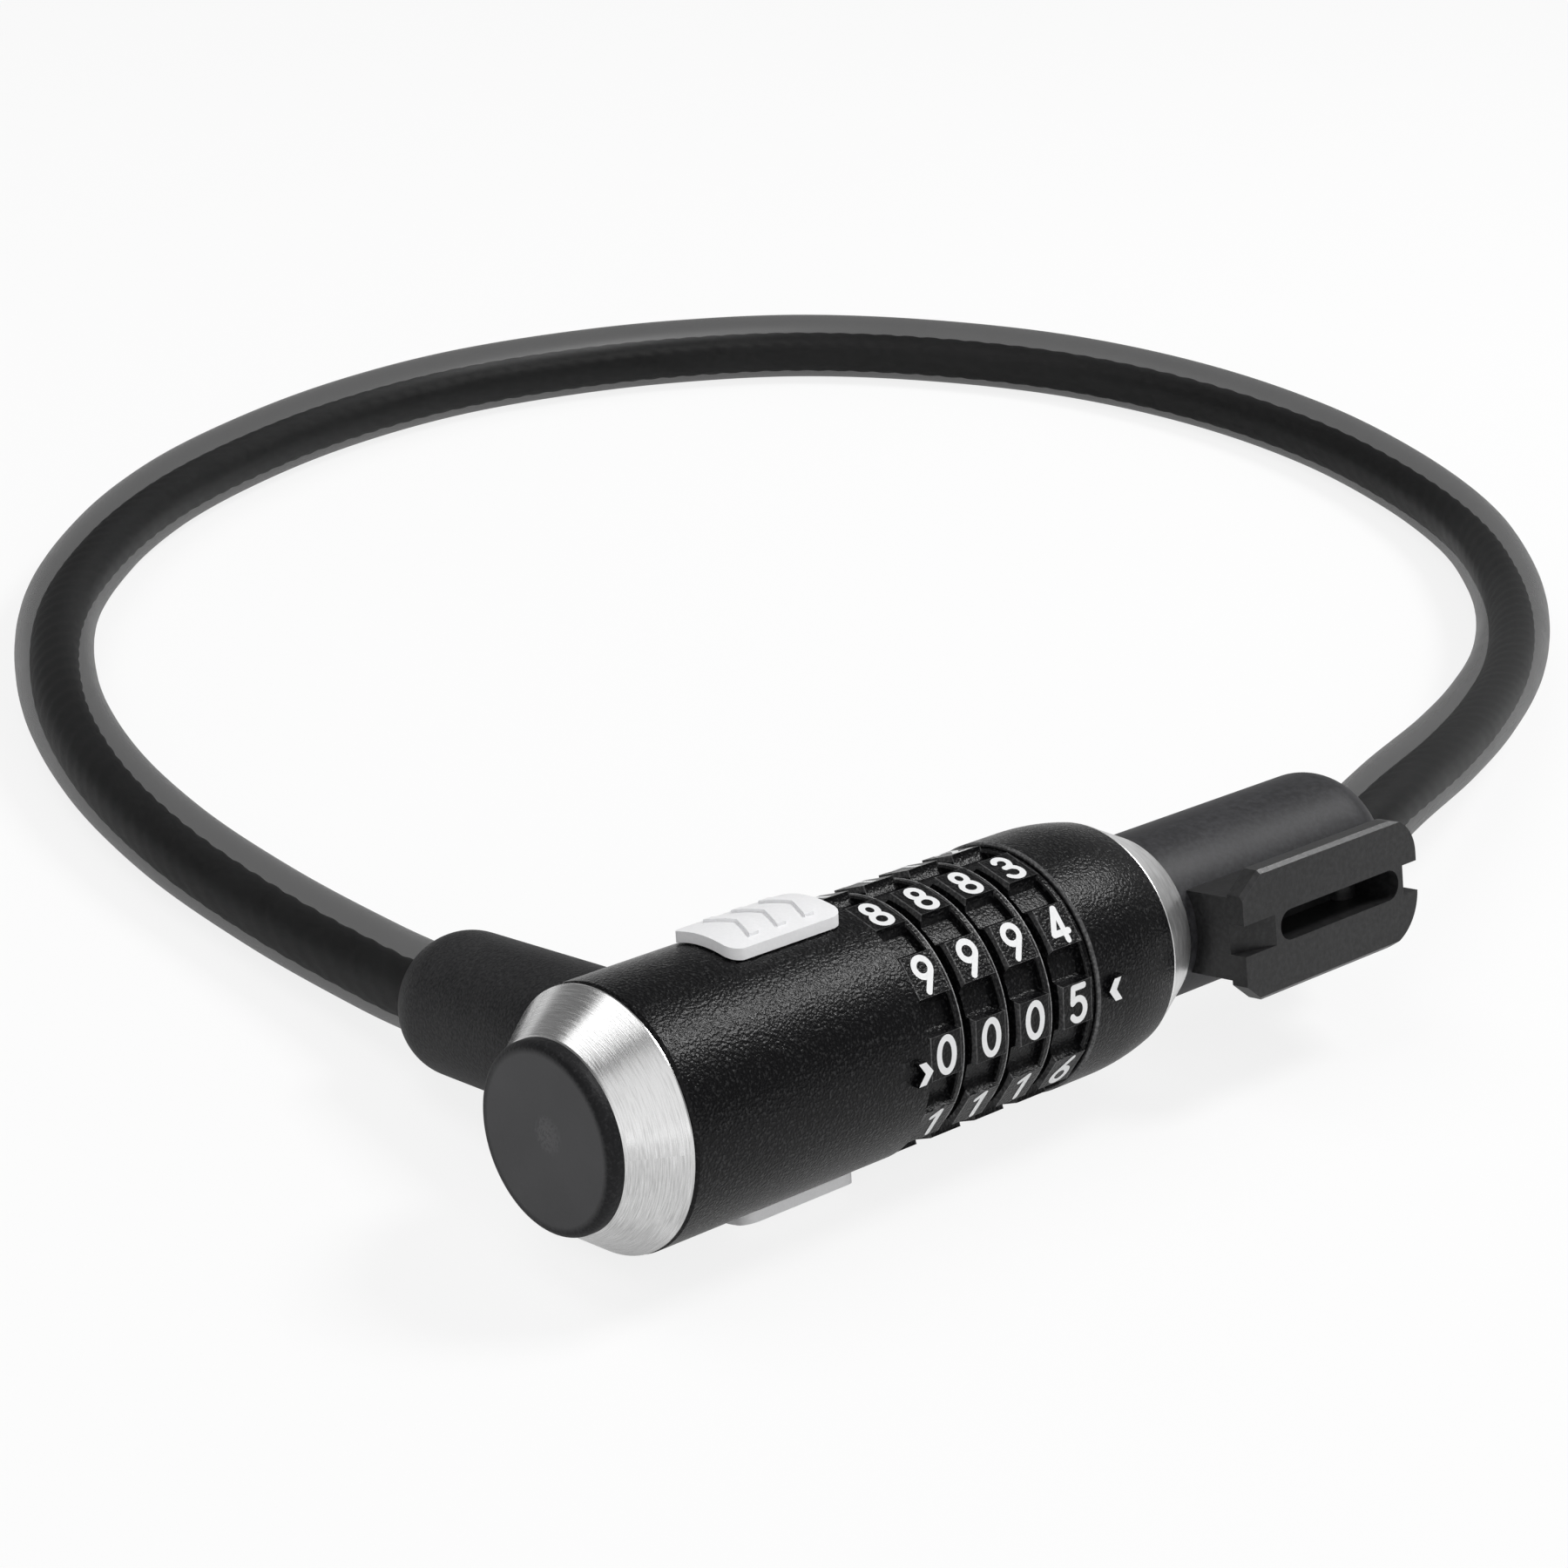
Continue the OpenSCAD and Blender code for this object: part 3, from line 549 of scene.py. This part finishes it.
def stroke(line):
    """The outline points and faces of one brush stroke, round at its ends unless it closes."""
    closed = hypot(line[0][0] - line[-1][0], line[0][1] - line[-1][1]) < 0.01
    last = len(line) - 1
    points, normals = [], []
    for i, (x, y) in enumerate(line):
        before = line[i - 1 if i else (last - 1 if closed else 0)]
        after = line[i + 1 if i < last else (1 if closed else last)]
        length = hypot(after[0] - before[0], after[1] - before[1])
        nx, ny = (before[1] - after[1]) / length, (after[0] - before[0]) / length
        normals.append((nx, ny))
        points += [(x + nx * stroke_half, y + ny * stroke_half),
                   (x - nx * stroke_half, y - ny * stroke_half)]
    faces = [(2 * i, 2 * i + 1, 2 * i + 3, 2 * i + 2) for i in range(last)]
    for end, side in () if closed else ((0, -1), (last, 1)):
        (x, y), (nx, ny), start = line[end], normals[end], len(points)
        for k in range(1, cap_steps):
            a, b = cos(pi * k / cap_steps), sin(pi * k / cap_steps) * side
            points.append((x + stroke_half * (nx * a + ny * b),
                           y + stroke_half * (ny * a - nx * b)))
        faces.append((2 * end, *range(start, len(points)), 2 * end + 1))
    return points, faces


number_paint = Finish("number_paint")
fine = number_paint.noise(number_paint.place(), 0.3 * mm, 2)
number_paint.colour(number_paint.blend(fine, (0.78, 0.79, 0.8), (0.88, 0.88, 0.88)))
number_paint.roughness(fine * 0.2 + 0.4)
number_paint.bump(fine, 0.2, 0.1 * mm)

for k, shown in enumerate(number_at_mark):
    points, faces = [], []
    for place in range(places):
        turn = radians(360 / places * place)
        for layer, line in enumerate(NUMERALS[(shown + place) % places]):
            outline, patches = stroke(line)
            first = len(points)
            paint_y = -flat_r - paint_lift - layer_lift * layer
            points += [
                on_body(numbers_x + k * dial_pitch + x, paint_y, up, turn) for x, up in outline
            ]
            faces += [tuple(first + i for i in patch) for patch in patches]
    numbers = mesh_piece(f"dial_{k + 1}_numbers", points, faces)
    wear(numbers, number_paint)
    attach(numbers, f"wheel_{k + 1}")


# ---- the index marks ----
# Two small arrows cast proud of the housings point at the line of numbers that opens the
# lock. Their tops carry the same white paint.


def arrow_paint(name, tail_x, length, ahead, turn):
    """A thin coat on top of an index arrow, which points to the rear where ahead is 1."""
    stroke_w, half, notch, top_r = 1.25, 1.5, 0.1, 17.88
    outline = [
        (0, half), (stroke_w, half), (length, 0), (stroke_w, -half), (0, -half),
        (length - stroke_w - notch, 0),
    ]
    points = [
        on_body(tail_x + ahead * station, -top_r, up, radians(turn)) for station, up in outline
    ]
    faces = [(0, 1, 2, 5), (5, 2, 3, 4)]
    paint = mesh_piece(name, points, faces)
    wear(paint, number_paint)
    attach(paint, "lock")


arrow_paint("front_index_paint", tail_x=44.55, length=2.5, ahead=1, turn=2.5)
arrow_paint("rear_index_paint", tail_x=81.25, length=2.3, ahead=-1, turn=-1.6)


# ---- the release sliders ----
# Two curved plates of cast metal with raised chevrons, joined through the housing, under a
# satin silver lacquer.

slider_silver = grained(
    "slider_silver", (0.86, 0.86, 0.87), (0.93, 0.93, 0.94), 0.4 * mm, 0.42, 0.15,
    Specular_IOR_Level=0.3,
)
for name in ("slider_top", "slider_bottom"):
    wear(node[name], slider_silver)


# ---- the sleeve ----
# A stiff black sleeve, smooth and dull, moulded over the fixed end of the cable where it
# enters the lock behind the steel ring.

sleeve_plastic = grained(
    "sleeve_plastic", (0.016, 0.016, 0.018), (0.055, 0.055, 0.06), 0.8 * mm, 0.52, 0.1,
    Specular_IOR_Level=0.3,
)
wear(node["sleeve"], sleeve_plastic)


# ---- the bracket shoe ----
# A black nylon shoe on the sleeve, which slides into a bracket on a bicycle's frame. Its
# bevels carry a painted highlight and are a little smoother.

shoe_turn = body_roll + radians(3.4)
rail_front, rail_top, bevel = 20 * mm, 8.8 * mm, 0.55 * mm
cut_at, cut_slope = 106.6 * mm, radians(36.1)

shoe_plastic = Finish("shoe_plastic", Specular_IOR_Level=0.35)
where = shoe_plastic.place()
flat = shoe_plastic.add(
    "VectorRotate", {"Vector": where, "Angle": shoe_turn}, rotation_type="X_AXIS"
)
x, y, z = parts(shoe_plastic, flat)
forward = rail_front + y
over_top = z.math("ABSOLUTE") - rail_top
over_cut = (cut_at - x) * sin(cut_slope) + (z - rail_top) * cos(cut_slope)
# The bevels along the rails' front edges get a painted highlight in the colour.
bevel_highlight = (over_top - forward).math("MAXIMUM", over_cut - forward) > -bevel
fine = shoe_plastic.noise(where, 0.7 * mm, 2, 0.6)
soft = shoe_plastic.noise(where, cloud_size, 3)
shoe_plastic.colour(shoe_plastic.blend(
    (fine - 0.35) * 1.2 + (soft - 0.5) * 0.5 + bevel_highlight * (soft * 1.2),
    (0.01, 0.01, 0.0105), (0.04, 0.04, 0.041),
))
shoe_plastic.roughness(soft * 0.12 + fine * 0.08 + 0.32 - bevel_highlight * 0.1)
shoe_plastic.bump(fine, 0.1, grain_depth)
wear(node["bracket_shoe"], shoe_plastic)


# ---- the mechanism inside ----
# Zinc castings hold the pin, the sliders and the cable. The bolt and its small parts are
# zinc-plated steel and the tumblers brass, all out of sight while the lock is whole.

zinc = grained(
    "zinc_casting", (0.4, 0.4, 0.41), (0.56, 0.56, 0.57), 0.9 * mm, 0.5, 0.3, Metallic=0.9
)
for name in ("socket_block", "slider_yoke", "anchor_block"):
    wear(node[name], zinc)

plated = grained(
    "plated_steel", (0.5, 0.51, 0.52), (0.64, 0.65, 0.66), 0.4 * mm, 0.3, 0.1, Metallic=1.0
)
for name in (
    "bolt", "bolt_clip", "bolt_spring", "core_tube", "core_nut", "detent_spring",
    "cable_ferrule",
):
    wear(node[name], plated)

brass = grained(
    "tumbler_brass", (0.62, 0.45, 0.2), (0.76, 0.6, 0.3), 0.4 * mm, 0.32, 0.1, Metallic=1.0
)
for name in ("tumbler_1", "tumbler_2", "tumbler_3", "tumbler_4"):
    wear(node[name], brass)


# ---- the bolt's spring ----
# A compression spring of plated wire behind the bolt, in the core tube. The sliders' travel
# shortens it against the anchor block.

# sizes in millimetres
wire_r, coil_r = 0.3, 2.75
curls, curl_steps, wire_sides = 5, 24, 10
free_from, free_to = (corner[0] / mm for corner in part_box("bolt_spring"))

steps = curls * curl_steps
points = []
for i in range(steps + 1):
    turn = 2 * pi * i / curl_steps
    at = free_from + wire_r + (free_to - free_from - 2 * wire_r) * i / steps
    for k in range(wire_sides):
        side = 2 * pi * k / wire_sides
        r = coil_r + wire_r * cos(side)
        points.append(on_body(at + wire_r * sin(side), r * cos(turn), r * sin(turn)))
faces = [
    (a, a + wire_sides, b + wire_sides, b)
    for i in range(steps) for k in range(wire_sides)
    for a, b in [(i * wire_sides + k, i * wire_sides + (k + 1) % wire_sides)]
]
faces.append(tuple(range(wire_sides)))
faces.append(tuple(range(steps * wire_sides, (steps + 1) * wire_sides))[::-1])
coil = mesh_piece("bolt_coil_spring", points, faces, smooth=True)
wear(coil, plated)
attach(coil, "lock")
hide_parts("bolt_spring")
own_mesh(coil)


# ---- the table and the light ----
# The lock lies on a plain white table under a pale dome. A small lamp high on the right makes
# the coat's grain glint and a broad one on the left fills in. Two large pale cards, lower on
# the right and in front, lay soft light along the housings and the steel.

table_half, table_drop = 20, 0.04 * mm
white_to_eye, white_in_steel = 0.84, 0.45
backdrop_tone, backdrop_in_steel = 0.9, 0.04


def rays(nodes):
    """1 on a ray from the camera, off a glossy surface and through a clear one, in turn."""
    kinds = ("Camera", "Glossy", "Transmission")
    return (nodes.add("LightPath", {}, output=f"Is {kind} Ray") for kind in kinds)


tabletop = Finish("white_table", Roughness=0.8, Specular_IOR_Level=0.1)
marks = tabletop.noise(tabletop.place(), 60 * mm, 2)
tabletop.colour(tabletop.blend(marks, (0.86, 0.86, 0.86), (0.88, 0.88, 0.88)))
glow = tabletop.add("Emission", {"Color": (1, 1, 1, 1), "Strength": 1.0})
seen, mirrored, through = rays(tabletop)
white = (seen + through) * white_to_eye + mirrored * white_in_steel
mixed = tabletop.add("MixShader", {0: white, 1: tabletop.shaded, 2: glow})
tabletop.tree.links.new(mixed.socket, tabletop.shown.inputs["Surface"])

table_corners = [
    (side_x * table_half, side_y * table_half, floor_z - table_drop)
    for side_x, side_y in ((-1, -1), (1, -1), (1, 1), (-1, 1))
]
table = mesh_piece("table", table_corners, [(0, 1, 2, 3)])
wear(table, tabletop)

dome = bpy.data.worlds.new("dome")
dome.use_nodes = True
scene.world = dome
sky = Nodes(dome.node_tree)
height = sky.add("SeparateXYZ", {0: sky.add("TexCoord", {}, output="Generated")}, output="Z")
shade = sky.add("ValToRGB", {0: height}, stops=((0.02, 1.0), (0.12, 0.25), (0.9, 0.07)))
seen, mirrored, through = rays(sky)
backdrop = seen + through + mirrored * backdrop_in_steel
tone = shade + backdrop * (backdrop_tone - shade)
sky.add("OutputWorld", {"Surface": sky.add("Background", {"Color": tone})})


def softbox(name, at, towards, width, height, watts):
    """A rectangular lamp at one point that faces another, in metres."""
    lamp = bpy.data.lights.new(name, "AREA")
    lamp.shape = "RECTANGLE"
    lamp.size, lamp.size_y = width, height
    lamp.energy = watts
    box = bpy.data.objects.new(name, lamp)
    box.location = at
    box.rotation_mode = "QUATERNION"
    box.rotation_quaternion = (Vector(towards) - Vector(at)).to_track_quat("-Z", "Y")
    scene.collection.objects.link(box)


softbox("lamp_right", (0.75, -0.2, 0.96), (0.05, 0, 0), 0.32, 0.38, 9)
softbox("lamp_left", (-0.2, 0.42, 1.1), (-0.2, 0, 0), 0.6, 0.95, 4.5)
softbox("card_right", (1.08, 0.02, 0.62), (0.09, 0, 0), 1.6, 0.45, 0.6)
softbox("card_front", (-0.72, -0.84, 0.72), (0.02, 0, 0), 2.2, 1.6, 8)

scene.view_settings.view_transform = "Standard"
